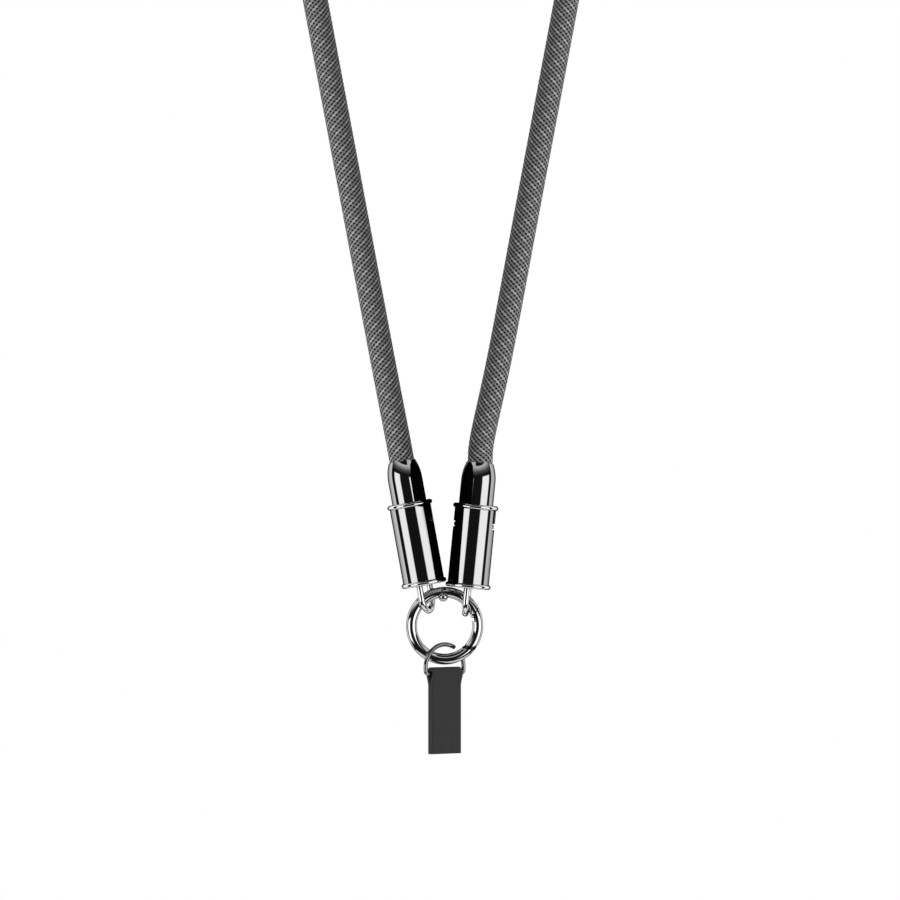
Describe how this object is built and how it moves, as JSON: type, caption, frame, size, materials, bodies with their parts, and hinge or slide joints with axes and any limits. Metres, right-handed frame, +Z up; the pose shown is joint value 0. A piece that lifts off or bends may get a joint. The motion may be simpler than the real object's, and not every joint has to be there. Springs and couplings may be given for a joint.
{
  "type": "charging cable lanyard",
  "caption": "Neck loop of braided charging cable, its plugs held in two metal sleeves on a spring gate ring, with a D ring and strap tab for a phone case.",
  "frame": {"origin": "the nape, where the neck holds the cord: the inner side of the loop's highest point", "axes": "+Z up, -Y to the wearer's front, +X to the right of a viewer who faces the wearer"},
  "size_m": [0.1536, 0.1303, 0.474],
  "materials": {
    "grey_braid": "woven, matt",
    "gunmetal_chrome": "black nickel, mirror bright",
    "plug_steel": "satin",
    "charcoal_strap": "matt"
  },
  "bodies": {
    "lanyard": {"cord": "grey_braid", "left_bullet": "gunmetal_chrome", "right_bullet": "gunmetal_chrome", "left_plug": "plug_steel", "right_plug": "plug_steel", "left_sleeve": "gunmetal_chrome", "right_sleeve": "gunmetal_chrome"},
    "ring": {"o_ring": "gunmetal_chrome"},
    "gate": {"ring_gate": "gunmetal_chrome"},
    "tab": {"d_ring": "gunmetal_chrome", "strap_tab": "charcoal_strap"}
  },
  "joints": [
    {"name": "ring_swing", "type": "hinge", "parent": "lanyard", "child": "ring", "pos_m": [0.00155, -0.1166, -0.42791], "axis": [0.9866, 0.1439, -0.0767], "range_deg": [-12, 12]},
    {"name": "gate_hinge", "type": "hinge", "parent": "ring", "child": "gate", "pos_m": [0.009, -0.11551, -0.4323], "axis": [-0.1444, 0.9895, 0], "range_deg": [0, 30], "stiffness_Nm_per_rad": 0.02, "springref_deg": -8.59},
    {"name": "tab_swing", "type": "hinge", "parent": "ring", "child": "tab", "pos_m": [0.00099, -0.11668, -0.44442], "axis": [0.9895, 0.1444, 0], "range_deg": [-15, 15]}
  ]
}
